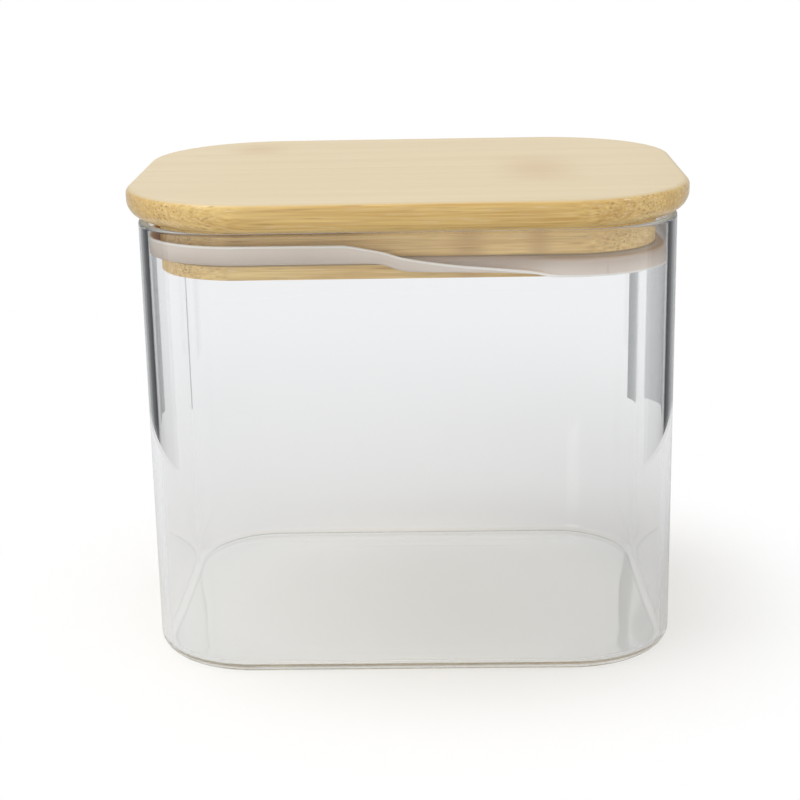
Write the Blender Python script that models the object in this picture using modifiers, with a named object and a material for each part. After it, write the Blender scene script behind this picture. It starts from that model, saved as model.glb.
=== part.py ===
"""Airtight storage jar with an oblong glass body and a glued bamboo lid.

The body is one blown glass shell with rounded corners, a rounded heel and a polished rim. The lid is
a cover board and a plug board, each glued from bamboo laths. A groove round the plug holds a silicone
ring, whose thin lip wipes the inside of the glass. The lip is folded up over one half of the ring and
down over the other, and it rolls over between the two on the front and on the back.

Lengths are in metres. The origin is the middle of the base, +Z points up, the long side runs along X
and the front faces -Y.
"""

import math

import bmesh
import bpy
from mathutils import Vector

# Glass body
GLASS_LENGTH = 0.1438
GLASS_DEPTH = 0.1090
GLASS_HEIGHT = 0.1212
GLASS_CORNER_RADIUS = 0.0285
GLASS_WALL = 0.0023
HEEL_RADIUS = 0.0040  # outside, where the wall turns into the floor
RIM_RADIUS = 0.0010
FOOT_WIDTH = 0.0060  # flat ring that the jar stands on, inside the heel
PUNT_SLOPE_WIDTH = 0.0080
PUNT_RISE = 0.0005  # how far the middle of the base is drawn up inside the foot

# Cover board
COVER_OVERHANG = 0.0036  # past the glass, all round
COVER_CORNER_RADIUS = 0.0368
COVER_THICKNESS = 0.0079
COVER_TOP_ROUND = 0.0016
COVER_LAND = 0.0014  # straight band between the upper and the lower rounding
COVER_SEAT_GAP = 0.0003  # between the rim and the underside

# Plug board
PLUG_GAP = 0.0034  # from the inside of the glass to the plug's face
PLUG_DEPTH = 0.01325
PLUG_EDGE_ROUND = 0.0005
GROOVE_DROP = 0.0075  # from the cover's underside to the groove
GROOVE_HEIGHT = 0.0018
GROOVE_DEPTH = 0.0030

# Silicone ring
RING_END_GAP = 0.0003  # between the ring and the bottom of its groove
LIP_THICKNESS = 0.0007
LIP_TAPER = 0.0012  # from the plug's face to where the lip has thinned from the ring's full height
LIP_BEND = 0.00075  # radius of its middle line where it turns
LIP_REACH = 0.0046  # about as far as it reaches up or down along the glass
LIP_GAP = 0.0003  # between the lip and the glass
ROLL_LEFT_MARGIN = 0.0274  # from the left end of the long straight side to where the lip starts to roll over
ROLL_RIGHT_MARGIN = 0.0033  # from where it has rolled over to the right end of that side

# Each row is one state of the rolling lip, from folded up to folded down: how far along the roll it
# lies, as a share of its length, how far the lip turns down and then up, as shares of a right angle,
# and how long it runs between the two turns and past them, as shares of LIP_REACH.
ROLL_SHARES = (
    (0.000, 0.00, 1.00, 0.00, 0.80),
    (0.080, 0.00, 1.00, 0.00, 0.62),
    (0.160, 0.10, 1.10, 0.04, 0.42),
    (0.215, 0.55, 1.55, 0.20, 0.46),
    (0.270, 0.78, 1.78, 0.28, 0.50),
    (0.390, 0.80, 1.80, 0.32, 0.30),
    (0.540, 0.82, 1.76, 0.35, 0.12),
    (0.715, 0.86, 1.56, 0.37, 0.06),
    (0.880, 0.90, 1.20, 0.43, 0.05),
    (1.000, 1.00, 0.00, 0.68, 0.05),
)

# Glued laths
COVER_LATHS = 4
PLUG_LATHS = 3

# Facets
CORNER_SEGMENTS = 12
HEEL_SEGMENTS = 5
RIM_SEGMENTS = 4
ROUND_SEGMENTS = 5
EDGE_SEGMENTS = 2
LIP_STEPS = 12
BEND_CROWDING = 3  # how many times closer the lip's corners lie where it turns
ROLL_STEPS = 18
SHARP_ANGLE = math.radians(60)
SMOOTH_ANGLE = math.radians(40)

# Cutters
OVERRUN = 0.0020  # how far a cutter reaches past what it cuts

# Finishes: colour, roughness, metallic
GLASS_FINISH = ((0.90, 0.94, 0.92), 0.03, 0.0)
COVER_FINISH = ((0.74, 0.60, 0.37), 0.55, 0.0)
PLUG_FINISH = ((0.58, 0.43, 0.23), 0.60, 0.0)
SILICONE_FINISH = ((0.66, 0.61, 0.58), 0.45, 0.0)
COVER_TONE_SHARES = (1.00, 0.97, 1.02, 0.98)
PLUG_TONE_SHARES = (1.00, 0.96, 1.02)
GLASS_IOR = 1.47
SILICONE_CLARITY = 0.15

# Derived sizes
RIGHT_ANGLE = math.pi / 2
COVER_UNDERSIDE = GLASS_HEIGHT + COVER_SEAT_GAP
COVER_TOP = COVER_UNDERSIDE + COVER_THICKNESS
COVER_LOWER_ROUND = COVER_THICKNESS - COVER_TOP_ROUND - COVER_LAND
PLUG_BOTTOM = COVER_UNDERSIDE - PLUG_DEPTH
PLUG_INSET = GLASS_WALL + PLUG_GAP  # from the outside of the glass to the plug's face
GROOVE_TOP = COVER_UNDERSIDE - GROOVE_DROP
GROOVE_MIDDLE = GROOVE_TOP - GROOVE_HEIGHT / 2
LIP_OUT = PLUG_GAP - LIP_GAP - LIP_THICKNESS / 2  # from the plug's face to the middle of the lip
STRAIGHT_END = GLASS_LENGTH / 2 - GLASS_CORNER_RADIUS  # of the long sides, from the middle
ROLL_START = ROLL_LEFT_MARGIN - STRAIGHT_END
ROLL_LENGTH = STRAIGHT_END - ROLL_RIGHT_MARGIN - ROLL_START
BACK_TURN, FRONT_TURN = 1, 3  # the corners that the long sides follow, counted anticlockwise

UPPER_EDGE, LOWER_EDGE = "upper_edge", "lower_edge"


def clear_scene():
    for item in list(bpy.data.objects):
        bpy.data.objects.remove(item)


def new_collection(name):
    collection = bpy.data.collections.new(name)
    bpy.context.scene.collection.children.link(collection)
    return collection


def new_material(name, finish, tone=1.0):
    colour, roughness, metallic = finish
    material = bpy.data.materials.new(name)
    material.use_nodes = True
    shader = material.node_tree.nodes["Principled BSDF"]
    shader.inputs["Base Color"].default_value = (*(tone * part for part in colour), 1.0)
    shader.inputs["Roughness"].default_value = roughness
    shader.inputs["Metallic"].default_value = metallic
    return material


def make_clear(material, share, ior):
    shader = material.node_tree.nodes["Principled BSDF"]
    shader.inputs["Transmission Weight"].default_value = share
    shader.inputs["IOR"].default_value = ior


def new_mesh(name, shape):
    mesh = bpy.data.meshes.new(name)
    shape.to_mesh(mesh)
    shape.free()
    mesh.shade_smooth()
    mesh.set_sharp_from_angle(angle=SMOOTH_ANGLE)
    return mesh


def new_object(name, mesh, collection):
    piece = bpy.data.objects.new(name, mesh)
    collection.objects.link(piece)
    return piece


def outline_stations(half_length, half_depth, radius):
    """Points of a rounded oblong and the way out at each, anticlockwise from the front's right end."""
    stations = []
    for turn, (side_x, side_y) in enumerate(((1, -1), (1, 1), (-1, 1), (-1, -1))):
        centre = Vector((side_x * (half_length - radius), side_y * (half_depth - radius)))
        for step in range(CORNER_SEGMENTS + 1):
            angle = RIGHT_ANGLE * (turn - 1 + step / CORNER_SEGMENTS)
            way_out = Vector((math.cos(angle), math.sin(angle)))
            stations.append((centre + radius * way_out, way_out))
    return stations


def glass_stations(inset):
    """Stations of the glass body's plan, moved in from its outside."""
    return outline_stations(
        GLASS_LENGTH / 2 - inset, GLASS_DEPTH / 2 - inset, GLASS_CORNER_RADIUS - inset
    )


def glass_plan(inset):
    return [point for point, _ in glass_stations(inset)]


def cover_plan():
    half_length = GLASS_LENGTH / 2 + COVER_OVERHANG
    half_depth = GLASS_DEPTH / 2 + COVER_OVERHANG
    return [point for point, _ in outline_stations(half_length, half_depth, COVER_CORNER_RADIUS)]


def flat_face(shape, plan, height):
    return shape.faces.new([shape.verts.new((*point, height)) for point in plan])


def raise_geometry(shape, geometry, height):
    corners = [part for part in geometry if isinstance(part, bmesh.types.BMVert)]
    bmesh.ops.translate(shape, verts=corners, vec=(0, 0, height))


def inset_face(shape, face, width):
    shape.normal_update()
    bmesh.ops.inset_region(
        shape, faces=[face], thickness=width, use_boundary=True, use_even_offset=True
    )


def board_mesh(name, plan, low, high):
    """A flat board between two heights."""
    shape = bmesh.new()
    underside = flat_face(shape, plan, low)
    grown = bmesh.ops.extrude_face_region(shape, geom=[underside])
    raise_geometry(shape, grown["geom"], high - low)
    bmesh.ops.recalc_face_normals(shape, faces=shape.faces)
    return new_mesh(name, shape)


def band_mesh(name, plan, low, high):
    """An open band round the plan, facing outwards."""
    shape = bmesh.new()
    lower = [shape.verts.new((*point, low)) for point in plan]
    edges = [shape.edges.new(pair) for pair in zip(lower, lower[1:] + lower[:1])]
    grown = bmesh.ops.extrude_edge_only(shape, edges=edges)
    raise_geometry(shape, grown["geom"], high - low)
    bmesh.ops.recalc_face_normals(shape, faces=shape.faces)
    return new_mesh(name, shape)


def group_level(piece, name, height):
    """Name the corners at one height, so that a bevel can find their edges."""
    group = piece.vertex_groups.new(name=name)
    away = [abs(corner.co.z - height) for corner in piece.data.vertices]
    level = [index for index, distance in enumerate(away) if distance < max(away) / 2]
    group.add(level, 1.0, "REPLACE")


def add_round(piece, name, width, segments, group=None):
    """Round the edges of a named group, or else every sharp edge."""
    bevel = piece.modifiers.new(name, "BEVEL")
    bevel.width = width
    bevel.segments = segments
    if group:
        bevel.limit_method = "VGROUP"
        bevel.vertex_group = group
    else:
        bevel.limit_method = "ANGLE"
        bevel.angle_limit = SHARP_ANGLE


def add_wall(piece, name, thickness):
    wall = piece.modifiers.new(name, "SOLIDIFY")
    wall.thickness = thickness
    wall.offset = -1
    wall.use_even_offset = True


def add_cut(piece, name, cutter, operation):
    cut = piece.modifiers.new(name, "BOOLEAN")
    cut.operation = operation
    cut.object = cutter


def as_cutter(piece):
    piece.hide_render = True
    piece.display_type = "WIRE"
    return piece


def make_glass_body(parts):
    """The blown shell: a footed floor and a straight wall, thickened inwards."""
    shape = bmesh.new()
    floor = flat_face(shape, glass_plan(0), 0)
    inset_face(shape, floor, HEEL_RADIUS + FOOT_WIDTH)
    inset_face(shape, floor, PUNT_SLOPE_WIDTH)
    bmesh.ops.translate(shape, verts=floor.verts, vec=(0, 0, PUNT_RISE))
    rim = [edge for edge in shape.edges if edge.is_boundary]
    grown = bmesh.ops.extrude_edge_only(shape, edges=rim)
    raise_geometry(shape, grown["geom"], GLASS_HEIGHT)
    bmesh.ops.recalc_face_normals(shape, faces=shape.faces)
    if floor.normal.z > 0:
        bmesh.ops.reverse_faces(shape, faces=shape.faces)
    body = new_object("glass_body", new_mesh("glass_body", shape), parts)
    add_round(body, "heel", HEEL_RADIUS, HEEL_SEGMENTS)
    add_wall(body, "wall", GLASS_WALL)
    add_round(body, "rim", RIM_RADIUS, RIM_SEGMENTS)
    material = new_material("clear_glass", GLASS_FINISH)
    make_clear(material, 1.0, GLASS_IOR)
    body.data.materials.append(material)
    return body


def make_lath_boxes(name, count, half_length, half_depth, low, high, cutters):
    """Boxes side by side from the front to the back, one for each lath of a board."""
    lines = [half_depth * (2 * number / count - 1) for number in range(count + 1)]
    lines[0] -= OVERRUN
    lines[-1] += OVERRUN
    end = half_length + OVERRUN
    boxes = []
    for number, (front, back) in enumerate(zip(lines, lines[1:]), start=1):
        plan = [(-end, front), (end, front), (end, back), (-end, back)]
        mesh = board_mesh(f"{name}_box_{number}", plan, low - OVERRUN, high + OVERRUN)
        boxes.append(as_cutter(new_object(mesh.name, mesh, cutters)))
    return boxes


def make_cover(parts, cutters):
    """The cover board, rounded a little above and far below, split along its glue lines."""
    board = board_mesh("cover_board", cover_plan(), COVER_UNDERSIDE, COVER_TOP)
    boxes = make_lath_boxes(
        "cover_lath",
        COVER_LATHS,
        GLASS_LENGTH / 2 + COVER_OVERHANG,
        GLASS_DEPTH / 2 + COVER_OVERHANG,
        COVER_UNDERSIDE,
        COVER_TOP,
        cutters,
    )
    laths = []
    for number, box in enumerate(boxes, start=1):
        lath = new_object(f"cover_lath_{number}", board.copy(), parts)
        group_level(lath, UPPER_EDGE, COVER_TOP)
        group_level(lath, LOWER_EDGE, COVER_UNDERSIDE)
        add_round(lath, "upper_round", COVER_TOP_ROUND, ROUND_SEGMENTS, UPPER_EDGE)
        add_round(lath, "lower_round", COVER_LOWER_ROUND, ROUND_SEGMENTS, LOWER_EDGE)
        add_cut(lath, "glue_lines", box, "INTERSECT")
        tone = COVER_TONE_SHARES[(number - 1) % len(COVER_TONE_SHARES)]
        lath.data.materials.append(new_material(f"cover_bamboo_{number}", COVER_FINISH, tone))
        laths.append(lath)
    bpy.data.meshes.remove(board)
    return laths


def make_groove_cutter(cutters):
    """A ring as high as the groove, from outside the plug's face to the groove's bottom."""
    plan = glass_plan(PLUG_INSET - OVERRUN)
    mesh = band_mesh("groove_ring", plan, GROOVE_TOP - GROOVE_HEIGHT, GROOVE_TOP)
    ring = as_cutter(new_object("groove_ring", mesh, cutters))
    add_wall(ring, "depth", GROOVE_DEPTH + OVERRUN)
    return ring


def make_plug(parts, cutters):
    """The plug board with its groove, split along its glue lines."""
    board = board_mesh("plug_board", glass_plan(PLUG_INSET), PLUG_BOTTOM, COVER_UNDERSIDE)
    groove = make_groove_cutter(cutters)
    boxes = make_lath_boxes(
        "plug_lath",
        PLUG_LATHS,
        GLASS_LENGTH / 2 - PLUG_INSET,
        GLASS_DEPTH / 2 - PLUG_INSET,
        PLUG_BOTTOM,
        COVER_UNDERSIDE,
        cutters,
    )
    laths = []
    for number, box in enumerate(boxes, start=1):
        lath = new_object(f"plug_lath_{number}", board.copy(), parts)
        group_level(lath, LOWER_EDGE, PLUG_BOTTOM)
        add_round(lath, "lower_edge_round", PLUG_EDGE_ROUND, EDGE_SEGMENTS, LOWER_EDGE)
        add_cut(lath, "groove", groove, "DIFFERENCE")
        add_cut(lath, "glue_lines", box, "INTERSECT")
        tone = PLUG_TONE_SHARES[(number - 1) % len(PLUG_TONE_SHARES)]
        lath.data.materials.append(new_material(f"plug_bamboo_{number}", PLUG_FINISH, tone))
        laths.append(lath)
    bpy.data.meshes.remove(board)
    return laths


def roll_state(place):
    """The lip's turns and runs at an X on the front or the back, as shares."""
    along = (place - ROLL_START) / ROLL_LENGTH
    if along <= 0:
        return ROLL_SHARES[0][1:]
    for before, after in zip(ROLL_SHARES, ROLL_SHARES[1:]):
        if along <= after[0]:
            share = (along - before[0]) / (after[0] - before[0])
            return tuple(a + (b - a) * share for a, b in zip(before[1:], after[1:]))
    return ROLL_SHARES[-1][1:]


def follow(runs, steps):
    """Points along straight and bent runs, each with the heading and the way covered there."""
    crowding = [BEND_CROWDING if turn else 1 for _, turn in runs]
    whole = sum(length * times for (length, _), times in zip(runs, crowding))
    stops = []
    for step in range(steps + 1):
        left = whole * step / steps
        place, heading, way = Vector((0, 0)), 0, 0
        for (length, turn), times in zip(runs, crowding):
            covered = min(left / times, length)
            if covered:
                half_turn = turn / 2 * covered / length
                chord = covered * (math.sin(half_turn) / half_turn if half_turn else 1)
                along = heading + half_turn
                place += chord * Vector((math.cos(along), math.sin(along)))
                heading += 2 * half_turn
                way += covered
                left -= covered * times
        stops.append((place, heading, way))
    return stops


def lip_stops(state):
    """The lip's middle line, out from the plug's face and up from the groove's middle."""
    down, up, leg, end = state
    runs = [
        (down * LIP_BEND * RIGHT_ANGLE, -down * RIGHT_ANGLE),
        (leg * LIP_REACH, 0),
        (up * LIP_BEND * RIGHT_ANGLE, up * RIGHT_ANGLE),
        (end * LIP_REACH, 0),
    ]
    tip = follow(runs, 1)[-1][0]
    return follow([(LIP_OUT - tip.x, 0), *runs], LIP_STEPS)


def ring_section(state):
    """Outline of the ring's cross-section: the root in the groove, then the lip out and back."""
    half = GROOVE_HEIGHT / 2
    below, above = [Vector((0, -half))], [Vector((0, half))]
    for middle, heading, way in lip_stops(state)[1:]:
        ahead = Vector((math.cos(heading), math.sin(heading)))
        rest = max(0, 1 - way / LIP_TAPER)
        thickness = LIP_THICKNESS + (GROOVE_HEIGHT - LIP_THICKNESS) * rest * rest
        aside = ahead.orthogonal() * thickness / 2
        below.append(middle - aside)
        above.append(middle + aside)
    tip = middle + ahead * LIP_THICKNESS / 2
    # The lip never reaches back past the plug's face.
    lip = [Vector((max(point.x, 0), point.y)) for point in (*below, tip, *reversed(above))]
    root_end = RING_END_GAP - GROOVE_DEPTH
    return [Vector((root_end, -half)), *lip, Vector((root_end, half))]


def ring_stations():
    """Places round the plug's face, with more of them where the lip rolls over."""
    places = [ROLL_START + ROLL_LENGTH * step / ROLL_STEPS for step in range(ROLL_STEPS + 1)]
    stations = []
    for number, (point, way_out) in enumerate(glass_stations(PLUG_INSET)):
        stations.append((point, way_out))
        turn, step = divmod(number, CORNER_SEGMENTS + 1)
        if step == CORNER_SEGMENTS and turn == BACK_TURN:
            stations += [(Vector((place, point.y)), way_out) for place in reversed(places)]
        if step == CORNER_SEGMENTS and turn == FRONT_TURN:
            stations += [(Vector((place, point.y)), way_out) for place in places]
    return stations


def make_seal_ring(parts):
    """The silicone ring: one section carried round the plug, changing where the lip rolls over."""
    shape = bmesh.new()
    loops = []
    for point, way_out in ring_stations():
        loop = []
        for out, up in ring_section(roll_state(point.x)):
            place = point + way_out * out
            loop.append(shape.verts.new((place.x, place.y, GROOVE_MIDDLE + up)))
        loops.append(loop)
    for loop, following in zip(loops, loops[1:] + loops[:1]):
        for number, corner in enumerate(loop):
            across = (number + 1) % len(loop)
            shape.faces.new((corner, following[number], following[across], loop[across]))
    bmesh.ops.recalc_face_normals(shape, faces=shape.faces)
    ring = new_object("seal_ring", new_mesh("seal_ring", shape), parts)
    material = new_material("silicone", SILICONE_FINISH)
    make_clear(material, SILICONE_CLARITY, GLASS_IOR)
    ring.data.materials.append(material)
    return ring


def hang_on_axis(name, pieces, height, collection):
    """Give the pieces that lift together one parent on the lift's axis."""
    axis = bpy.data.objects.new(name, None)
    axis.location = (0, 0, height)
    collection.objects.link(axis)
    bpy.context.view_layer.update()
    for piece in pieces:
        piece.parent = axis
        piece.matrix_parent_inverse = axis.matrix_world.inverted()


def main():
    clear_scene()
    parts = new_collection("airtight_glass_jar")
    cutters = new_collection("jar_cutters")
    make_glass_body(parts)
    lid = make_cover(parts, cutters) + make_plug(parts, cutters) + [make_seal_ring(parts)]
    hang_on_axis("lid_axis", lid, COVER_UNDERSIDE, parts)


main()
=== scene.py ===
"""Looks of the airtight jar: clear glass, a glued bamboo lid and a silicone ring, in soft studio light.

Lengths are in metres. The jar stands on the floor at the origin, its long side runs along X and its
front faces -Y.
"""

import math

import bmesh
import bpy
from mathutils import Matrix, Vector


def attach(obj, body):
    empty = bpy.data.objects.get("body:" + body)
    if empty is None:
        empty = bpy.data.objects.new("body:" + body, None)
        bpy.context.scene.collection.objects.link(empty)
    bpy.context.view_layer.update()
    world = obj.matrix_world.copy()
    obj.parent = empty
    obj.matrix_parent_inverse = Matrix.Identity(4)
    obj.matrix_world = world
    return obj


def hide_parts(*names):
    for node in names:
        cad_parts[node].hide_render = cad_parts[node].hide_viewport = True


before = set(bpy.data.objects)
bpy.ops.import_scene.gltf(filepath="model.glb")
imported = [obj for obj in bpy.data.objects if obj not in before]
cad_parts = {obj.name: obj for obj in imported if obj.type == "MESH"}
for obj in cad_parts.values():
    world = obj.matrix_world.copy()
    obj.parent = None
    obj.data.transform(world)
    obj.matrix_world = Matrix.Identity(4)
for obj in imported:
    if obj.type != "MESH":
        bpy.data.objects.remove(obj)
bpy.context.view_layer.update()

# Glass body
GLASS_LENGTH = 0.1438
GLASS_DEPTH = 0.1090
GLASS_HEIGHT = 0.1212
GLASS_CORNER_RADIUS = 0.0285
GLASS_WALL = 0.0023
HEEL_RADIUS = 0.0040  # outside, where the wall turns into the floor
RIM_RADIUS = 0.0010
FOOT_WIDTH = 0.0060  # flat ring that the jar stands on, inside the heel
PUNT_SLOPE_WIDTH = 0.0080
PUNT_RISE = 0.0005  # how far the middle of the base is drawn up inside the foot

# Cover board
COVER_OVERHANG = 0.0036  # past the glass, all round
COVER_CORNER_RADIUS = 0.0368
COVER_THICKNESS = 0.0079
COVER_TOP_ROUND = 0.0016
COVER_LAND = 0.0014  # straight band between the upper and the lower rounding
COVER_LOWER_ROUND = COVER_THICKNESS - COVER_TOP_ROUND - COVER_LAND
COVER_SEAT_GAP = 0.0003  # between the rim and the underside
COVER_UNDERSIDE = GLASS_HEIGHT + COVER_SEAT_GAP
COVER_TOP = COVER_UNDERSIDE + COVER_THICKNESS
COVER_HALF_LENGTH = GLASS_LENGTH / 2 + COVER_OVERHANG
COVER_HALF_DEPTH = GLASS_DEPTH / 2 + COVER_OVERHANG
COVER_LATHS = 4

# Plug board
PLUG_GAP = 0.0034  # from the inside of the glass to the plug's face
PLUG_DEPTH = 0.01325
PLUG_BOTTOM = COVER_UNDERSIDE - PLUG_DEPTH
PLUG_HALF_LENGTH = GLASS_LENGTH / 2 - GLASS_WALL - PLUG_GAP
PLUG_HALF_DEPTH = GLASS_DEPTH / 2 - GLASS_WALL - PLUG_GAP
PLUG_CORNER_RADIUS = GLASS_CORNER_RADIUS - GLASS_WALL - PLUG_GAP
PLUG_EDGE_ROUND = 0.0005
GROOVE_DROP = 0.0075  # from the cover's underside to the groove
GROOVE_HEIGHT = 0.0018
GROOVE_DEPTH = 0.0030
GROOVE_TOP = COVER_UNDERSIDE - GROOVE_DROP
GROOVE_FLOOR = GROOVE_TOP - GROOVE_HEIGHT
GROOVE_MIDDLE = GROOVE_TOP - GROOVE_HEIGHT / 2
PLUG_LATHS = 3

# Silicone ring
RING_END_GAP = 0.0003  # between the ring and the bottom of its groove
RING_ROOT = GROOVE_DEPTH - RING_END_GAP
LIP_THICKNESS = 0.0007
LIP_TAPER = 0.0012  # from the plug's face to where the lip has thinned from the ring's full height
LIP_BEND = 0.00075  # radius of its middle line where it turns
LIP_REACH = 0.0046  # about as far as it reaches up or down along the glass
LIP_GAP = 0.0003  # between the lip and the glass
LIP_OUT = PLUG_GAP - LIP_GAP - LIP_THICKNESS / 2  # from the plug's face to the lip's middle line
LIP_TIP_ANGLES = [math.radians(degrees) for degrees in (-45, 0, 45)]  # of the points on the lip's round end
ROLL_LEFT_MARGIN = 0.0274  # from the left end of the long straight side to where the lip starts to roll over
ROLL_RIGHT_MARGIN = 0.0033  # from where it has rolled over to the right end of that side
ROLL_START = ROLL_LEFT_MARGIN - (GLASS_LENGTH / 2 - GLASS_CORNER_RADIUS)
ROLL_LENGTH = GLASS_LENGTH - 2 * GLASS_CORNER_RADIUS - ROLL_LEFT_MARGIN - ROLL_RIGHT_MARGIN
ROLL_EASE = 0.0012  # steps in which neighbouring states are evened out
ROLL_EASE_STEPS = 2  # to either side

# Each row is one state of the rolling lip, from folded up to folded down: how far along the roll it
# lies, as a share of its length, how far the lip turns down and then up, as shares of a right angle,
# and how long it runs between the two turns and past them, as shares of LIP_REACH.
ROLL_SHARES = (
    (0.000, 0.00, 1.00, 0.00, 0.80),
    (0.080, 0.00, 1.00, 0.00, 0.62),
    (0.160, 0.10, 1.10, 0.04, 0.42),
    (0.215, 0.55, 1.55, 0.20, 0.46),
    (0.270, 0.78, 1.78, 0.28, 0.50),
    (0.390, 0.80, 1.80, 0.32, 0.30),
    (0.540, 0.82, 1.76, 0.35, 0.12),
    (0.715, 0.86, 1.56, 0.37, 0.06),
    (0.880, 0.90, 1.20, 0.43, 0.05),
    (1.000, 1.00, 0.00, 0.68, 0.05),
)

# Fineness
CORNER_SEGMENTS = 64
HEEL_SEGMENTS = 10
RIM_SEGMENTS = 8
TOP_SEGMENTS = 10
LOWER_SEGMENTS = 14
EDGE_SEGMENTS = 3
LIP_STEPS = 26
BEND_CROWDING = 3  # how many times closer the lip's corners lie where it turns
ROLL_STEPS = 84
SMOOTH_ANGLE = math.radians(40)
SHARP_ANGLE = math.radians(60)
RIGHT_ANGLE = math.pi / 2
FLAT_FACE_WEIGHT = 100  # of 100: how far large faces lead the shading of small ones
NEAR = 1e-5  # how close two heights lie that count as one
CUT_TOLERANCE = 1e-6
OVERRUN = 0.0040  # how far the outermost cuts lie past a board

# Bamboo: cells to the metre along X, Y and Z, then detail and roughness of each noise
BROAD_GRAIN = (8, 160, 160), 2, 0.5
STREAK_GRAIN = (26, 1100, 1100), 3, 0.6
FINE_GRAIN = (45, 2300, 2300), 2, 0.6
FLECK_GRAIN = (120, 2300, 2300), 1, 0.5
FLECK_SHIFT = (0.5, 0.5, 0.5)
STRAY_GRAIN = (60, 60, 60), 2, 0.5
STRAY = (0.0004, 0.0006, 0.0006)  # how far the dark tubes stray from a straight line
TUBE_CELLS = (80, 1500, 1500)
TUBE_FADE = 0.10, 0.42  # from a tube's middle outwards, in cells
TUBE_PICK = 0.25, 0.90  # how dark each tube is, from its own random number
FLECK_PICK = 0.60, 0.78  # the part of the noise that is a pale fleck
MIDDLE = 0.5  # of a noise, and of the tone between two colours
BROAD_CONTRAST, STREAK_CONTRAST, FINE_CONTRAST = 1.1, 2.0, 1.5
END_GRAIN = 0.040, 0.062  # from the middle along X to where the rounded ends show cut fibres
TUBE_STRENGTH, TUBE_END_STRENGTH = 0.40, 0.55  # everywhere, and what the cut ends add
# Pale flecks everywhere, and what the cut ends add, which is a painted speckled highlight
FLECK_STRENGTH, END_HIGHLIGHT_STRENGTH = 0.25, 0.30
FLECK_LIFT = 0.45  # how far a fleck is from the pale colour to white
TUBE_COLOUR = (0.30, 0.16, 0.04)
FIBRE_ROUGHNESS, FINE_ROUGHNESS = 0.36, 0.18  # at the least, and what the fine grain adds
STREAK_HEIGHT, FINE_HEIGHT, TUBE_HEIGHT = 0.5, 0.4, -1.2  # as shares of the grain's height
GRAIN_HEIGHT = 0.00006
GLUE_WIDTH = 0.0005
GLUE_BREAKS = 0.3, 0.7  # of the broad grain, between which a glue line comes and goes
# Painted shade along the plug's groove, where the seal and its gap shade the wood
GROOVE_SHADE = (0.20, 0.12, 0.05)
GROOVE_SHADE_WIDTH = 0.0005
GROOVE_SHADE_STRENGTH = 0.8

# Bamboo of the cover: its top, smoothed by sanding, is pale, partly from a painted sheen in its colour; its
# rounded edge is golden and oiled
COVER_PALE, COVER_DEEP = (0.775, 0.545, 0.19), (0.53, 0.31, 0.075)
# The top's colours are the sanding's paler tone with a painted sheen of the overhead light laid on it
SANDED_AND_SHEEN_COLOURS = (0.60, 0.475, 0.27), (0.69, 0.565, 0.355)
SANDED_CALM = 0.86  # how much of the grain's contrast the sanding takes away
SANDED_STREAK = 0.35
SANDED_AND_SHEEN_EDGE = COVER_TOP - 0.0006, COVER_TOP - 0.0001
COVER_PATTERN = (0, 0, 0), (0.31, 0.17, 0)  # where the pattern starts, and its step from lath to lath
OIL_FLECK, OIL_STREAK, OIL_END = 1.4, 0.6, 0.4
OIL_ROUGHNESS = 0.14
SEAM_STRENGTH = 0.2
MIDDLE_SEAM_STRENGTH = 0.5  # the seam that the photo shows

# Bamboo of the plug
PLUG_PALE, PLUG_DEEP = (0.90, 0.66, 0.28), (0.64, 0.41, 0.14)
PLUG_PATTERN = (0, 0, 0.2), (0.23, 0.41, 0)

# Knots, as middle along X and Y, half width, half depth and strength, for each lath from the front
KNOT_OVER_SEAM = (0.036, -0.006, 0.015, 0.036, 0.42)
COVER_KNOTS = (), (KNOT_OVER_SEAM,), (KNOT_OVER_SEAM,), ((-0.045, 0.038, 0.012, 0.016, 0.4),)
KNOTS_ON_FRONT = (
    (0.016, -PLUG_HALF_DEPTH, 0.007, 0.004, 0.5),
    (0.034, -PLUG_HALF_DEPTH, 0.005, 0.004, 0.45),
)
PLUG_KNOTS = KNOTS_ON_FRONT, (), ()
KNOT_COLOUR = (0.50, 0.30, 0.12)
KNOT_STRENGTH, KNOT_STREAK_STRENGTH = 0.2, 1.5  # everywhere, and what the streaks add

# Silicone: cloudy, thinner towards the lip; its colour holds painted shade at the root that fades towards
# the lip, and a painted highlight on the lip's edge
SILICONE_ROOT_SHADE, SILICONE_LIP, SILICONE_HIGHLIGHT = (0.50, 0.42, 0.35), (0.72, 0.635, 0.565), (0.93, 0.89, 0.87)
LIP_FADE = 0.15, 0.95  # share of the way from the root to the tip
# Painted highlight on the lip's edge:
HIGHLIGHT_FADE = 0.93, 1.00
HIGHLIGHT_STRENGTH = 0.8
HAZE = (60, 60, 60), 2, 0.5
HAZE_CONTRAST = 0.3
MOULD_LINE = 0.0512  # along X, on the front
MOULD_LINE_WIDTH = 0.0005
MOULD_LINE_STRENGTH = 0.35
MOULD_LINE_COLOUR = (0.50, 0.40, 0.38)
SILICONE_ROUGHNESS = 0.42
SILICONE_DEPTH = (0.004, 0.003, 0.003)  # how far light spreads under the surface
SILICONE_DEPTH_SCALE = 0.5
SILICONE_CLOUD = 0.7

# Clear glass
GLASS_COLOUR = (0.99, 0.99, 0.99)
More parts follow.
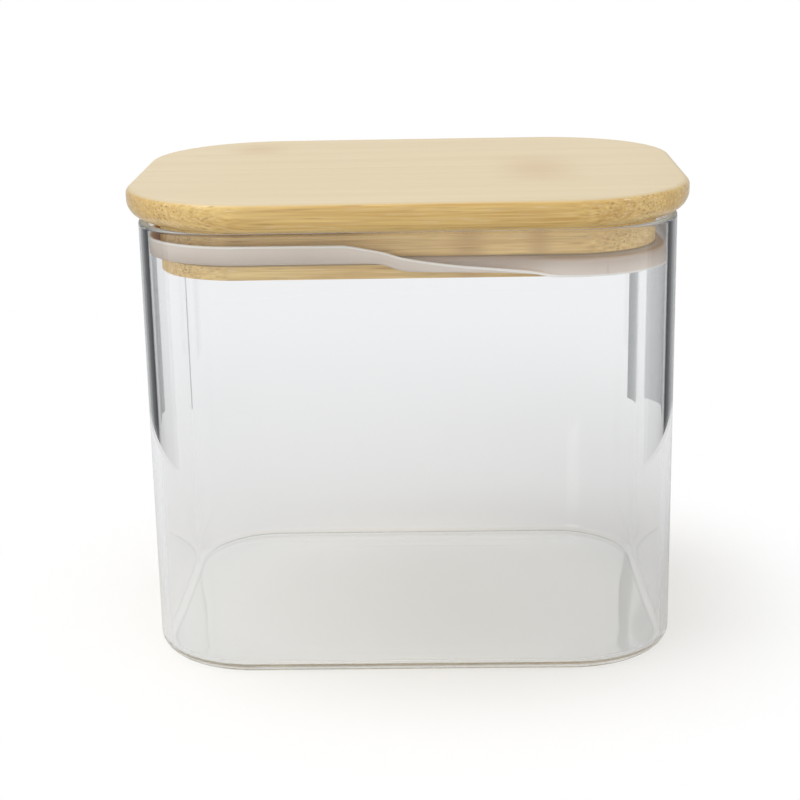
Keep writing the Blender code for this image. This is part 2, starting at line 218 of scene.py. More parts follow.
# Painted dark lines that stand in for refraction at the inner floor's edge and at ripples in the floor of
# the glass
PAINTED_REFRACTION_COLOUR = (0.25, 0.25, 0.24)  # of the inner floor's edge and the ripples
GLASS_IOR = 1.47
GLASS_TINT = (0.25, 0.45, 0.40)  # the part of the light that the glass doesn't absorb
GLASS_TINT_DENSITY = 1.0  # how fast it absorbs the rest, to the metre
LIGHT_LET_THROUGH = (0.965, 0.97, 0.97)  # by each surface, on its way to what it lights
RIM_FADE = GLASS_HEIGHT - 0.0011, GLASS_HEIGHT - 0.0004  # up to the ground rim
RIM_ROUGHNESS = 0.35
# A painted dark line along the inner floor's edge, standing in for its refraction:
HEEL_LINE_WIDTH = 0.0007
HEEL_LINE_STRENGTH, HEEL_LINE_BACK_STRENGTH = 0.2, 0.75  # all round, and what the back adds
HEEL_LINE_BACK = 0.030, 0.050  # along Y
# Painted dark lines that stand in for refraction by ripples in the floor of the glass:
RIPPLE = (14, 900, 0), 2, 0.5  # faint lines in the floor of the glass, at the back
RIPPLE_PICK = 0.54, 0.60
RIPPLE_ALONG = 0.004, 0.036  # middle and half width
RIPPLE_ACROSS = 0.039, 0.009
RIPPLE_STRENGTH = 0.2

# Paper on the floor, with distances from the jar's middle
WHITE, BLACK = (1, 1, 1), (0, 0, 0)
FLOOR_RADIUS = 6.0
FLOOR_CORNERS = 96
FLOOR_DROP = 0.00015  # under the jar's foot
PAPER_COLOUR = (0.97, 0.97, 0.97)
PAPER_ROUGHNESS = 0.9
PAPER_GLOSS = 0.2
# The paper under the jar is lighter: a painted pool of the light that the glass gathers there
PAINTED_POOL_COLOUR, BESIDE_COLOUR = (0.86, 0.855, 0.84), (0.74, 0.745, 0.755)  # to bent and reflected rays
PAINTED_POOL_FADE = 0.05, 0.09
THROUGH_GLASS = (0.885, 0.89, 0.90)  # how bright the paper and the room behind it are through the glass
# Painted shade on the paper to the right of the jar, which bent rays see
SHADED_SIDE = -0.02, 0.12  # along X, where bent rays find the paper darker
SHADED_FADE = 0.14, 0.32
NEAR_SHADE, FAR_SHADE = 0.08, 0.06
DIRECT_FADE = 0.06, 0.14  # where the camera sees lit paper turn to plain white
BENT_FADE = 0.08, 0.42  # where bent rays do

# Surround: the unlit studio beside the paper, with angles clockwise from +Y
SURROUND_RADIUS = 0.235
SURROUND_HEIGHT = 0.30
SURROUND_FACETS = 120
SURROUND_END = math.radians(100)
SURROUND_GREY, SURROUND_DARK = (0.25, 0.265, 0.27), (0.008, 0.01, 0.013)
PAPER_MIDDLE = math.radians(-3.4)
PAPER_EDGE = math.radians(29.9), math.radians(30.2)  # to either side of its middle
UNLIT = math.radians(45), math.radians(55)  # where the wall beside the paper turns dark
SEEN_THROUGH_END = math.radians(44), math.radians(50)  # where straight views through the jar see past it
STRAIGHT_VIEW_BENDS = 3  # a straight view through both sides of the jar is bent more often than this
REFLECTED_SHARE = 0.5  # how much of the surround reflections show

# Light: each lamp's name, place, the height that it aims at over the origin, size and watts
AMBIENT = (0.82, 0.82, 0.82)
LAMPS = (
    ("overhead", (-0.42, -0.04, 1.15), 0.10, 0.60, 3.4),
    ("front", (-0.45, -0.90, 0.22), 0.11, 0.34, 0.6),
    ("left", (-0.75, -0.45, 0.75), 0.12, 0.25, 0.7),
    ("right", (0.80, -0.35, 0.80), 0.12, 0.25, 0.6),
)

# Light that is reflected over and over inside the wall of the glass counts as glossy bounces
BOUNCE_LIMITS = {
    "max_bounces": 160,
    "glossy_bounces": 128,
    "transmission_bounces": 32,
    "transparent_max_bounces": 32,
}

# Camera
CAMERA_PLACE = (0.00862, -0.50290, 0.20695)
CAMERA_YAW = math.radians(-1.38)
CAMERA_PITCH = math.radians(-16.125)
CAMERA_ROLL = math.radians(-1.11)
CAMERA_LENS = 81.08
CAMERA_NEAREST = 0.01
SENSOR_WIDTH = 36.0


# Shader maths


class Signal:
    """A value or colour on its way through the nodes of a finish."""

    def __init__(self, finish, socket):
        self.finish = finish
        self.socket = socket

    def math(self, operation, *others, clamp=False):
        return self.finish.math(operation, self, *others, clamp=clamp)

    def __add__(self, other):
        return self.math("ADD", other)

    def __sub__(self, other):
        return self.math("SUBTRACT", other)

    def __mul__(self, other):
        return self.math("MULTIPLY", other)

    def __rsub__(self, other):
        return self.finish.math("SUBTRACT", other, self)

    __radd__ = __add__
    __rmul__ = __mul__

    def ramp(self, low, high):
        """0 below low, 1 above high, and a smooth way between."""
        settings = {"interpolation_type": "SMOOTHSTEP"}
        values = {"Value": self, "From Min": low, "From Max": high}
        return self.finish.add("ShaderNodeMapRange", settings, values)

    def bump_at(self, place, width):
        """1 at a place, falling smoothly to 0 at a width on either side."""
        return 1 - (self - place).math("ABSOLUTE").ramp(0, width)

    def clamp(self):
        return self.math("ADD", 0, clamp=True)


class Finish:
    """The nodes of one material, or of the world."""

    def __init__(self, owner, shader="Principled BSDF", output="Material Output"):
        owner.use_nodes = True
        self.owner = owner
        self.tree = owner.node_tree
        self.shader = self.tree.nodes[shader]
        self.output = self.tree.nodes[output]

    def join(self, socket, value):
        if isinstance(value, Signal):
            self.tree.links.new(value.socket, socket)
        elif hasattr(value, "__len__") and len(value) == 3 and socket.type == "RGBA":
            socket.default_value = (*value, 1)
        else:
            socket.default_value = value

    def add(self, kind, settings=None, values=None, output=0):
        """A node of a kind, with its settings and the values or links of its sockets."""
        node = self.tree.nodes.new(kind)
        for name, value in (settings or {}).items():
            setattr(node, name, value)
        for name, value in (values or {}).items():
            self.join(node.inputs[name], value)
        return Signal(self, node.outputs[output])

    def math(self, operation, *values, clamp=False):
        settings = {"operation": operation, "use_clamp": clamp}
        return self.add("ShaderNodeMath", settings, dict(enumerate(values)))

    def place(self):
        return self.add("ShaderNodeTexCoord", output="Object")

    def part(self, vector, axis):
        return self.add("ShaderNodeSeparateXYZ", values={0: vector}, output=axis)

    def scaled(self, vector, scale, shift=(0, 0, 0)):
        return self.add("ShaderNodeMapping", values={"Vector": vector, "Location": shift, "Scale": scale})

    def vector(self, operation, *values, output="Vector"):
        return self.add("ShaderNodeVectorMath", {"operation": operation}, dict(enumerate(values)), output)

    def noise(self, vector, cells, detail, roughness, shift=(0, 0, 0), output=0):
        vector = self.scaled(vector, cells, shift)
        values = {"Vector": vector, "Scale": 1.0, "Detail": detail, "Roughness": roughness}
        return self.add("ShaderNodeTexNoise", values=values, output=output)

    def cells(self, vector, output):
        return self.add("ShaderNodeTexVoronoi", values={"Vector": vector, "Scale": 1.0}, output=output)

    def mix(self, factor, first, second):
        """Two colours mixed by a factor. The node takes them in at 6 and 7, and gives a colour at 2."""
        return self.add("ShaderNodeMix", {"data_type": "RGBA"}, {0: factor, 6: first, 7: second}, output=2)

    def ray(self, kind):
        return self.add("ShaderNodeLightPath", output=kind)

    def set(self, **values):
        """Values or links of the main shader's sockets, named with _ for a space."""
        for name, value in values.items():
            self.join(self.shader.inputs[name.replace("_", " ")], value)

    def main(self):
        """What the main shader gives."""
        return Signal(self, self.shader.outputs[0])

    def glow(self, colour):
        return self.add("ShaderNodeEmission", values={"Color": colour, "Strength": 1.0})

    def show(self, factor, first, second):
        """Make the surface a mix of two shaders."""
        mixed = self.add("ShaderNodeMixShader", values={0: factor, 1: first, 2: second})
        self.join(self.output.inputs["Surface"], mixed)


def new_finish(name):
    return Finish(bpy.data.materials.new(name))


# Modelling


def deselect():
    bpy.ops.object.select_all(action="DESELECT")


def hold(piece):
    """Make one piece the only selected and active one."""
    deselect()
    piece.select_set(True)
    bpy.context.view_layer.objects.active = piece


def name_new(name):
    """Name the piece that was just added, and put its place in its mesh."""
    piece = bpy.context.object
    piece.name = piece.data.name = name
    bpy.ops.object.transform_apply(location=True, rotation=True, scale=True)
    return piece


def edit(piece, kind="FACE"):
    hold(piece)
    bpy.ops.object.mode_set(mode="EDIT")
    bpy.ops.mesh.select_mode(type=kind)


def edit_all(piece):
    edit(piece)
    bpy.ops.mesh.select_all(action="SELECT")


def pick(piece, kind, test):
    """Select the edges or faces that pass a test of their place, in edit mode."""
    edit(piece, kind)
    bpy.ops.mesh.select_all(action="DESELECT")
    shape = bmesh.from_edit_mesh(piece.data)
    for part in shape.edges if kind == "EDGE" else shape.faces:
        part.select_set(test(part))
    bmesh.update_edit_mesh(piece.data)


def leave(piece):
    bpy.ops.object.mode_set(mode="OBJECT")
    return piece


def upright(edge):
    first, second = (corner.co for corner in edge.verts)
    return abs(first.z - second.z) > (first - second).length / 2


def level_between(low, high):
    return lambda part: all(low - NEAR < corner.co.z < high + NEAR for corner in part.verts)


def level_at(height):
    return level_between(height, height)


def round_edges(piece, test, radius, segments):
    pick(piece, "EDGE", test)
    bpy.ops.mesh.bevel(offset=radius, segments=segments, affect="EDGES")
    return leave(piece)


def delete_faces(piece, test):
    pick(piece, "FACE", test)
    bpy.ops.mesh.delete(type="FACE")
    leave(piece)


def apply_modifier(piece, kind, **settings):
    hold(piece)
    modifier = piece.modifiers.new(kind.lower(), kind)
    for name, value in settings.items():
        setattr(modifier, name, value)
    bpy.ops.object.modifier_apply(modifier=modifier.name)


def round_sharp_edges(piece, radius, segments):
    settings = {"width": radius, "segments": segments, "limit_method": "ANGLE", "angle_limit": SHARP_ANGLE}
    apply_modifier(piece, "BEVEL", **settings)


def finish_shading(piece):
    hold(piece)
    bpy.ops.object.shade_smooth_by_angle(angle=SMOOTH_ANGLE)
    apply_modifier(piece, "WEIGHTED_NORMAL", mode="FACE_AREA", weight=FLAT_FACE_WEIGHT, keep_sharp=True)
    return piece


def oblong(name, half_length, half_depth, radius, low, high):
    """A closed block with its four upright edges rounded."""
    deselect()
    size = (2 * half_length, 2 * half_depth, high - low)
    bpy.ops.mesh.primitive_cube_add(size=1, location=(0, 0, (low + high) / 2), scale=size)
    return round_edges(name_new(name), upright, radius, CORNER_SEGMENTS)


def make_glass():
    """The blown shell: heel, foot and drawn-up floor, a thick wall and a polished rim."""
    glass = oblong("glass_shell", GLASS_LENGTH / 2, GLASS_DEPTH / 2, GLASS_CORNER_RADIUS, 0, GLASS_HEIGHT)
    delete_faces(glass, level_at(GLASS_HEIGHT))
    pick(glass, "FACE", level_at(0))
    bpy.ops.mesh.inset(thickness=HEEL_RADIUS + FOOT_WIDTH, depth=0, use_even_offset=True)
    bpy.ops.mesh.inset(thickness=PUNT_SLOPE_WIDTH, depth=0, use_even_offset=True)
    bpy.ops.transform.translate(value=(0, 0, PUNT_RISE))
    leave(glass)
    round_sharp_edges(glass, HEEL_RADIUS, HEEL_SEGMENTS)
    apply_modifier(glass, "SOLIDIFY", thickness=GLASS_WALL, offset=-1, use_even_offset=True)
    round_sharp_edges(glass, RIM_RADIUS, RIM_SEGMENTS)
    return finish_shading(glass)


def lath_lines(half_depth, count):
    """Where a board's laths begin and end, from front to back."""
    return [half_depth * (2 * number / count - 1) for number in range(count + 1)]


def cut_lath(board, name, front, back):
    """A copy of a board, cut along two glue lines and closed."""
    hold(board)
    bpy.ops.object.duplicate()
    lath = bpy.context.object
    lath.name = lath.data.name = name
    for line, outwards in ((front, -1), (back, 1)):
        edit_all(lath)
        plane = {"plane_co": (0, line, 0), "plane_no": (0, outwards, 0), "threshold": CUT_TOLERANCE}
        bpy.ops.mesh.bisect(use_fill=True, clear_outer=True, **plane)
        leave(lath)
    return finish_shading(lath)


def cut_board(board, name, half_depth, count):
    lines = lath_lines(half_depth, count)
    lines[0] -= OVERRUN
    lines[-1] += OVERRUN
    places = enumerate(zip(lines, lines[1:]), start=1)
    laths = [cut_lath(board, f"{name}_{number}", front, back) for number, (front, back) in places]
    bpy.data.objects.remove(board)
    return laths


def make_cover():
    size = COVER_HALF_LENGTH, COVER_HALF_DEPTH, COVER_CORNER_RADIUS
    board = oblong("cover_board", *size, COVER_UNDERSIDE, COVER_TOP)
    round_edges(board, level_at(COVER_TOP), COVER_TOP_ROUND, TOP_SEGMENTS)
    round_edges(board, level_at(COVER_UNDERSIDE), COVER_LOWER_ROUND, LOWER_SEGMENTS)
    return cut_board(board, "bamboo_cover_lath", COVER_HALF_DEPTH, COVER_LATHS)


def make_plug():
    size = PLUG_HALF_LENGTH, PLUG_HALF_DEPTH, PLUG_CORNER_RADIUS
    board = oblong("plug_board", *size, PLUG_BOTTOM, COVER_UNDERSIDE)
    round_edges(board, level_at(PLUG_BOTTOM), PLUG_EDGE_ROUND, EDGE_SEGMENTS)
    for height in (GROOVE_TOP, GROOVE_FLOOR):
        edit_all(board)
        bpy.ops.mesh.bisect(plane_co=(0, 0, height), plane_no=(0, 0, 1))
        leave(board)
    pick(board, "FACE", level_between(GROOVE_FLOOR, GROOVE_TOP))
    inwards = {"value": -GROOVE_DEPTH, "use_even_offset": True}
    bpy.ops.mesh.extrude_region_shrink_fatten(TRANSFORM_OT_shrink_fatten=inwards)
    leave(board)
    return cut_board(board, "bamboo_plug_lath", PLUG_HALF_DEPTH, PLUG_LATHS)


def roll_state(place):
    """The lip's turns and runs at an X on the front or the back, as shares."""
    along = (place - ROLL_START) / ROLL_LENGTH
    if along <= 0:
        return ROLL_SHARES[0][1:]
    for before, after in zip(ROLL_SHARES, ROLL_SHARES[1:]):
        if along <= after[0]:
            share = (along - before[0]) / (after[0] - before[0])
            return tuple(a + (b - a) * share for a, b in zip(before[1:], after[1:]))
    return ROLL_SHARES[-1][1:]


def eased_state(place):
    """The same, evened out over a short way so that the lip bends without kinks."""
    steps = range(-ROLL_EASE_STEPS, ROLL_EASE_STEPS + 1)
    states = [roll_state(place + ROLL_EASE * step) for step in steps]
    return tuple(sum(parts) / len(parts) for parts in zip(*states))


def direction(angle):
    return Vector((math.cos(angle), math.sin(angle)))


def follow(runs, steps):
    """Points along straight and bent runs, each with the heading and the way covered there."""
    crowding = [BEND_CROWDING if turn else 1 for _, turn in runs]
    whole = sum(length * times for (length, _), times in zip(runs, crowding))
    stops = []
    for step in range(steps + 1):
        left = whole * step / steps
        place, heading, way = Vector((0, 0)), 0, 0
        for (length, turn), times in zip(runs, crowding):
            covered = min(left / times, length)
            if covered:
                half_turn = turn / 2 * covered / length
                chord = covered * (math.sin(half_turn) / half_turn if half_turn else 1)
                place += chord * direction(heading + half_turn)
                heading += 2 * half_turn
                way += covered
                left -= covered * times
        stops.append((place, heading, way))
    return stops


def lip_stops(state):
    """The lip's middle line, out from the plug's face and up from the groove's middle."""
    down, up, leg, end = state
    runs = [
        (down * LIP_BEND * RIGHT_ANGLE, -down * RIGHT_ANGLE),
        (leg * LIP_REACH, 0),
        (up * LIP_BEND * RIGHT_ANGLE, up * RIGHT_ANGLE),
        (end * LIP_REACH, 0),
    ]
    tip = follow(runs, 1)[-1][0]
    return follow([(LIP_OUT - tip.x, 0), *runs], LIP_STEPS)


def ring_section(state):
    """Outline of the ring's section and, for each corner, its share of the way to the lip's tip."""
    half = GROOVE_HEIGHT / 2
    below, above = [(Vector((0, -half)), 0)], [(Vector((0, half)), 0)]
    stops = lip_stops(state)
    end, last_heading, whole = stops[-1]
    tips = [(end + direction(last_heading + turn) * LIP_THICKNESS / 2, 1) for turn in LIP_TIP_ANGLES]
    for middle, heading, way in stops[1:]:
        rest = max(0, 1 - way / LIP_TAPER)
        thickness = LIP_THICKNESS + (GROOVE_HEIGHT - LIP_THICKNESS) * rest * rest
        aside = direction(heading).orthogonal() * thickness / 2
        below.append((middle - aside, way / whole))
        above.append((middle + aside, way / whole))
    lip = [(Vector((max(point.x, 0), point.y)), share) for point, share in (*below, *tips, *reversed(above))]
    return [(Vector((-RING_ROOT, -half)), 0), *lip, (Vector((-RING_ROOT, half)), 0)]


def ring_stations():
    """Places round the plug's face and the way out at each, closer where the lip rolls over."""
    radius = PLUG_CORNER_RADIUS
    places = [ROLL_START + ROLL_LENGTH * step / ROLL_STEPS for step in range(ROLL_STEPS + 1)]
    stations = []
    for turn, (side_x, side_y) in enumerate(((1, -1), (1, 1), (-1, 1), (-1, -1))):
        centre = Vector((side_x * (PLUG_HALF_LENGTH - radius), side_y * (PLUG_HALF_DEPTH - radius)))
        for step in range(CORNER_SEGMENTS + 1):
            way_out = direction(RIGHT_ANGLE * (turn - 1 + step / CORNER_SEGMENTS))
            stations.append((centre + radius * way_out, way_out))
        back, front = turn == 1, turn == 3
        if back or front:
            run = places if front else reversed(places)
            stations += [(Vector((place, stations[-1][0].y)), way_out) for place in run]
    return stations


def make_ring():
    """The ring is a loft between unlike sections, so its faces are joined loop by loop."""
    corners, shares, faces = [], [], []
    for point, way_out in ring_stations():
        section = ring_section(eased_state(point.x))
        for (out, up), share in section:
            place = point + way_out * out
            corners.append((place.x, place.y, GROOVE_MIDDLE + up))
            shares.append(share)
    around = len(section)
    loops = len(corners) // around
    for loop in range(loops):
        here, beside = loop * around, (loop + 1) % loops * around
        for step in range(around):
            across = (step + 1) % around
            faces.append((here + step, here + across, beside + across, beside + step))
    mesh = bpy.data.meshes.new("silicone_ring")
    mesh.from_pydata(corners, [], faces)
    mesh.attributes.new("lip_share", "FLOAT", "POINT").data.foreach_set("value", shares)
    ring = bpy.data.objects.new("silicone_ring", mesh)
    bpy.context.scene.collection.objects.link(ring)
    edit_all(ring)
    bpy.ops.mesh.normals_make_consistent(inside=False)
    leave(ring)
    return finish_shading(ring)


# Finishes


def bamboo(name, pale, deep, shift, knots, sanded_and_sheen_colours=None, glue=(), grooves=()):
    """Glued bamboo: long fibres along X, and dark tubes that end as dots on the cut ends."""
    wood = new_finish(name)
    place = wood.place()
    x, y, z = (wood.part(place, axis) for axis in "XYZ")
    grain = wood.scaled(place, (1, 1, 1), shift)
    broad, streak, fine = (wood.noise(grain, *kind) for kind in (BROAD_GRAIN, STREAK_GRAIN, FINE_GRAIN))
    fleck = wood.noise(grain, *FLECK_GRAIN, shift=FLECK_SHIFT).ramp(*FLECK_PICK)
    stray = wood.scaled(wood.noise(grain, *STRAY_GRAIN, output="Color"), STRAY)
    strayed = wood.scaled(wood.vector("ADD", grain, stray), TUBE_CELLS)
    spot = 1 - wood.cells(strayed, "Distance").ramp(*TUBE_FADE)
    tube = spot * wood.part(wood.cells(strayed, "Color"), "X").ramp(*TUBE_PICK)
    cut = x.math("ABSOLUTE").ramp(*END_GRAIN)
    sanded_and_sheen, coarse = None, 1.0
    if sanded_and_sheen_colours:
        sanded_and_sheen = z.ramp(*SANDED_AND_SHEEN_EDGE)
        coarse = 1 - sanded_and_sheen * SANDED_CALM

    sharp = ((streak - MIDDLE) * STREAK_CONTRAST + (fine - MIDDLE) * FINE_CONTRAST) * coarse
    tone = ((broad - MIDDLE) * BROAD_CONTRAST + sharp + MIDDLE).clamp()
    colour = wood.mix(tone, deep, pale)
    fleck_and_highlight = tuple(part + (1 - part) * FLECK_LIFT for part in pale)
    colour = wood.mix(tube * coarse * (cut * TUBE_END_STRENGTH + TUBE_STRENGTH), colour, TUBE_COLOUR)
    # pale flecks, and at the cut ends a painted speckled highlight
    colour = wood.mix(fleck * coarse * (cut * END_HIGHLIGHT_STRENGTH + FLECK_STRENGTH), colour, fleck_and_highlight)
    # On the top the colour turns pale: partly the sanding, partly a painted sheen
    if sanded_and_sheen:
        quiet = wood.mix((broad + (streak - MIDDLE) * SANDED_STREAK).clamp(), *sanded_and_sheen_colours)
        colour = wood.mix(sanded_and_sheen, colour, quiet)
        oil = (fleck * OIL_FLECK + streak * OIL_STREAK + cut * OIL_END).clamp() * coarse
        wood.set(Coat_Weight=oil, Coat_Roughness=OIL_ROUGHNESS)
    for line, strength in glue:
        seam = y.bump_at(line, GLUE_WIDTH) * broad.ramp(*GLUE_BREAKS) * strength
        colour = wood.mix(seam, colour, KNOT_COLOUR)
    for at_x, at_y, width, depth, strength in knots:
        patch = x.bump_at(at_x, width) * y.bump_at(at_y, depth) * strength
        patch = patch * (streak * KNOT_STREAK_STRENGTH + KNOT_STRENGTH)
        colour = wood.mix(patch.clamp(), colour, KNOT_COLOUR)
    # painted shade along the groove's edges
    for height in grooves:
        shade = z.bump_at(height, GROOVE_SHADE_WIDTH) * GROOVE_SHADE_STRENGTH
        colour = wood.mix(shade, colour, GROOVE_SHADE)
    wood.set(Base_Color=colour, Roughness=fine * FINE_ROUGHNESS + FIBRE_ROUGHNESS)
    relief = (streak * STREAK_HEIGHT + fine * FINE_HEIGHT + tube * TUBE_HEIGHT) * coarse
    wood.set(Normal=wood.add("ShaderNodeBump", values={"Height": relief, "Distance": GRAIN_HEIGHT}))
    return wood


def lath_shift(pattern, number):
    start, step = pattern
    return tuple(first + number * more for first, more in zip(start, step))


def cover_finish(number):
    """Pale on the top, from sanding and a painted sheen, golden on the rounded edge, with the middle glue
    line as the plainest.
    """
    lines = lath_lines(COVER_HALF_DEPTH, COVER_LATHS)[number - 1 : number + 1]
    glue = [(line, SEAM_STRENGTH) for line in lines]
    glue += [(line, MIDDLE_SEAM_STRENGTH) for line in lines if abs(line) < NEAR]
    shift = lath_shift(COVER_PATTERN, number)
    knots = COVER_KNOTS[number - 1]
    return bamboo(f"cover_bamboo_{number}", COVER_PALE, COVER_DEEP, shift, knots, SANDED_AND_SHEEN_COLOURS, glue)


def plug_finish(number):
    """Golden all over, with painted shade along the groove."""
    shift = lath_shift(PLUG_PATTERN, number)
    knots = PLUG_KNOTS[number - 1]
    grooves = GROOVE_TOP, GROOVE_FLOOR
    return bamboo(f"plug_bamboo_{number}", PLUG_PALE, PLUG_DEEP, shift, knots, grooves=grooves)


def silicone_finish():
    """Cloudy silicone, with painted shade at the root and a painted highlight on the lip's edge."""
    silicone = new_finish("silicone")
    place = silicone.place()
    lip = silicone.add("ShaderNodeAttribute", {"attribute_name": "lip_share"}, output="Fac")
    haze = (silicone.noise(place, *HAZE) - MIDDLE) * HAZE_CONTRAST
    # painted shade at the root, fading towards the lip
    colour = silicone.mix((lip.ramp(*LIP_FADE) + haze).clamp(), SILICONE_ROOT_SHADE, SILICONE_LIP)
    mould_line = silicone.part(place, "X").bump_at(MOULD_LINE, MOULD_LINE_WIDTH)
    front = silicone.part(place, "Y").math("LESS_THAN", 0)
    colour = silicone.mix(mould_line * front * MOULD_LINE_STRENGTH, colour, MOULD_LINE_COLOUR)
    # painted highlight on the lip's edge
    colour = silicone.mix(lip.ramp(*HIGHLIGHT_FADE) * HIGHLIGHT_STRENGTH, colour, SILICONE_HIGHLIGHT)
    silicone.set(Base_Color=colour, Roughness=SILICONE_ROUGHNESS)
    silicone.set(Subsurface_Weight=SILICONE_CLOUD, Subsurface_Radius=SILICONE_DEPTH)
    silicone.set(Subsurface_Scale=SILICONE_DEPTH_SCALE)
    return silicone


def inset_from_side(glass, place):
    """How far a place lies inside the glass's outline, seen from above."""
    x, y = (glass.part(place, axis).math("ABSOLUTE") for axis in "XY")
    along = x - (GLASS_LENGTH / 2 - GLASS_CORNER_RADIUS)
    across = y - (GLASS_DEPTH / 2 - GLASS_CORNER_RADIUS)
    beyond_x, beyond_y = along.math("MAXIMUM", 0), across.math("MAXIMUM", 0)
    past_corner = (beyond_x * beyond_x + beyond_y * beyond_y).math("SQRT")
    return GLASS_CORNER_RADIUS - past_corner - along.math("MAXIMUM", across).math("MINIMUM", 0)


def glass_finish():
    """Clear glass with a faint cool tint, which lets lamp light through, and painted dark lines that stand
    in for refraction at the inner floor's edge and at ripples.
    """
    glass = new_finish("clear_glass")
    place = glass.place()
    x, y, z = (glass.part(place, axis) for axis in "XYZ")
    # painted dark lines that stand in for refraction
    back = y.ramp(*HEEL_LINE_BACK) * HEEL_LINE_BACK_STRENGTH + HEEL_LINE_STRENGTH
    inside = z.ramp(GLASS_WALL / 2, GLASS_WALL - NEAR) * (1 - z.ramp(HEEL_RADIUS, HEEL_RADIUS + NEAR))
    painted_heel_line = inset_from_side(glass, place).bump_at(HEEL_RADIUS, HEEL_LINE_WIDTH) * inside * back
    ripple = glass.noise(place, *RIPPLE).ramp(*RIPPLE_PICK) * z.math("LESS_THAN", GLASS_WALL + NEAR)
    ripple = ripple * x.bump_at(*RIPPLE_ALONG) * y.bump_at(*RIPPLE_ACROSS)
    lines = (painted_heel_line + ripple * RIPPLE_STRENGTH).clamp()
    glass.set(Base_Color=glass.mix(lines, GLASS_COLOUR, PAINTED_REFRACTION_COLOUR))
    glass.set(Roughness=z.ramp(*RIM_FADE) * RIM_ROUGHNESS, Transmission_Weight=1.0, IOR=GLASS_IOR)
    see_through = glass.add("ShaderNodeBsdfTransparent", values={"Color": LIGHT_LET_THROUGH})
    let_through = glass.ray("Is Shadow Ray").math("MAXIMUM", glass.ray("Is Diffuse Ray"))
    glass.show(let_through, glass.main(), see_through)
    tint = {"Color": GLASS_TINT, "Density": GLASS_TINT_DENSITY}
    glass.join(glass.output.inputs["Volume"], glass.add("ShaderNodeVolumeAbsorption", values=tint))
    return glass


def dress(piece, finish, body, slot, *nodes):
    piece.data.materials.clear()
    piece.data.materials.append(finish.owner)
    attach(piece, body)
    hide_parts(*nodes)


# Studio


def make_floor():
    """Pale paper that keeps the jar's shadow and turns to plain white further out; rays other than the
    camera's also see a painted pool of light beneath the jar and painted shade to its right.
    """
    deselect()
    size = {"vertices": FLOOR_CORNERS, "radius": FLOOR_RADIUS}
    bpy.ops.mesh.primitive_circle_add(location=(0, 0, -FLOOR_DROP), fill_type="NGON", **size)
    floor = name_new("floor")
    paper = new_finish("pale_paper")
    place = paper.place()
    direct = paper.ray("Is Camera Ray")
    far = paper.vector("LENGTH", place, output="Value")
    # painted shade to the right of the jar
    painted_shade = paper.part(place, "X").ramp(*SHADED_SIDE) * (1 - far.ramp(*SHADED_FADE))
    # a painted pool of light beneath the jar
    paper_with_painted_light = paper.mix(far.ramp(*PAINTED_POOL_FADE), PAINTED_POOL_COLOUR, BESIDE_COLOUR)
    paper_with_painted_light = paper.mix(painted_shade * NEAR_SHADE, paper_with_painted_light, BLACK)
    paper.set(Base_Color=paper.mix(direct, paper_with_painted_light, PAPER_COLOUR))
    paper.set(Roughness=PAPER_ROUGHNESS, Specular_IOR_Level=PAPER_GLOSS)
    through = paper.mix(painted_shade * FAR_SHADE, THROUGH_GLASS, BLACK)
    bright = paper.mix(paper.ray("Is Transmission Ray"), WHITE, through)
    bent = (1 - direct) * (1 - paper.ray("Is Diffuse Ray"))
    fade = far.ramp(*DIRECT_FADE) * direct + far.ramp(*BENT_FADE) * bent
    paper.show(fade.clamp(), paper.main(), paper.glow(bright))
    floor.data.materials.append(paper.owner)


def make_surround():
    """The unlit studio on both sides of the paper, which only bent and reflected rays see."""
    deselect()
    size = {"vertices": SURROUND_FACETS, "radius": SURROUND_RADIUS, "depth": SURROUND_HEIGHT}
    middle = (0, 0, SURROUND_HEIGHT / 2)
    bpy.ops.mesh.primitive_cylinder_add(location=middle, end_fill_type="NOTHING", **size)
    surround = name_new("surround")
    delete_faces(surround, lambda face: abs(math.atan2(*face.calc_center_median().xy)) > SURROUND_END)
    dark = new_finish("surround")
    place = dark.place()
    turn = dark.part(place, "X").math("ARCTAN2", dark.part(place, "Y"))
    away = turn.math("ABSOLUTE")
    beside_paper = (turn - PAPER_MIDDLE).math("ABSOLUTE").ramp(*PAPER_EDGE)
    straight_through = dark.ray("Transmission Depth").math("GREATER_THAN", STRAIGHT_VIEW_BENDS)
    past = straight_through * away.ramp(*SEEN_THROUGH_END)
    colour = dark.mix(away.ramp(*UNLIT) * (1 - straight_through), SURROUND_GREY, SURROUND_DARK)
    seen = dark.ray("Is Transmission Ray").math("MAXIMUM", dark.ray("Is Glossy Ray") * REFLECTED_SHARE)
    clear = dark.add("ShaderNodeBsdfTransparent")
    dark.show(seen * beside_paper * (1 - past), clear, dark.glow(colour))
    surround.data.materials.append(dark.owner)
    surround.visible_camera = False
    surround.visible_diffuse = False
    surround.visible_shadow = False


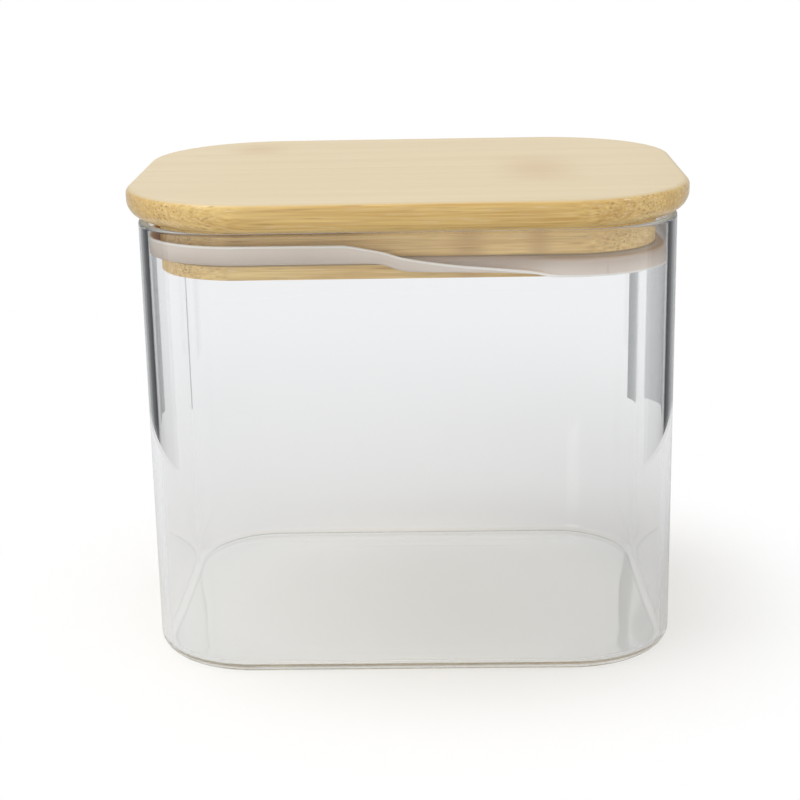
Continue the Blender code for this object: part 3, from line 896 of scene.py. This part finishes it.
def make_world():
    """White, softer where it lights the jar and a little grey through the glass."""
    sky = Finish(bpy.data.worlds.new("studio"), "Background", "World Output")
    lit = sky.mix(sky.ray("Is Diffuse Ray"), WHITE, AMBIENT)
    sky.set(Color=sky.mix(sky.ray("Is Transmission Ray"), lit, THROUGH_GLASS))
    bpy.context.scene.world = sky.owner


def make_lamp(name, place, height, size, power):
    light = bpy.data.lights.new(name, "AREA")
    light.size = size
    light.energy = power
    lamp = bpy.data.objects.new(name, light)
    lamp.location = place
    lamp.rotation_euler = (Vector((0, 0, height)) - Vector(place)).to_track_quat("-Z", "Y").to_euler()
    bpy.context.scene.collection.objects.link(lamp)


def make_camera():
    ahead_x, ahead_y = math.sin(CAMERA_YAW), math.cos(CAMERA_YAW)
    tilt = math.cos(CAMERA_PITCH)
    forward = Vector((ahead_x * tilt, ahead_y * tilt, math.sin(CAMERA_PITCH)))
    level = Vector((ahead_y, -ahead_x, 0))
    upward = level.cross(forward)
    right = level * math.cos(CAMERA_ROLL) + upward * math.sin(CAMERA_ROLL)
    up = upward * math.cos(CAMERA_ROLL) - level * math.sin(CAMERA_ROLL)
    turned = Matrix((right, up, -forward)).transposed().to_4x4()
    camera = bpy.data.objects.new("camera", bpy.data.cameras.new("camera"))
    camera.data.sensor_fit = "HORIZONTAL"
    camera.data.sensor_width = SENSOR_WIDTH
    camera.data.lens = CAMERA_LENS
    camera.data.clip_start = CAMERA_NEAREST
    camera.matrix_world = Matrix.Translation(CAMERA_PLACE) @ turned
    bpy.context.scene.collection.objects.link(camera)
    bpy.context.scene.camera = camera


# The jar in its studio

dress(make_glass(), glass_finish(), "jar", "glass", "glass_body")
for number, lath in enumerate(make_cover(), start=1):
    dress(lath, cover_finish(number), "lid", "cover_bamboo", f"cover_lath_{number}")
for number, lath in enumerate(make_plug(), start=1):
    dress(lath, plug_finish(number), "lid", "plug_bamboo", f"plug_lath_{number}")
dress(make_ring(), silicone_finish(), "lid", "silicone", "seal_ring")

make_floor()
make_surround()
make_world()
for row in LAMPS:
    make_lamp(*row)
make_camera()
bpy.context.scene.view_settings.view_transform = "Standard"
for name, limit in BOUNCE_LIMITS.items():
    setattr(bpy.context.scene.cycles, name, limit)
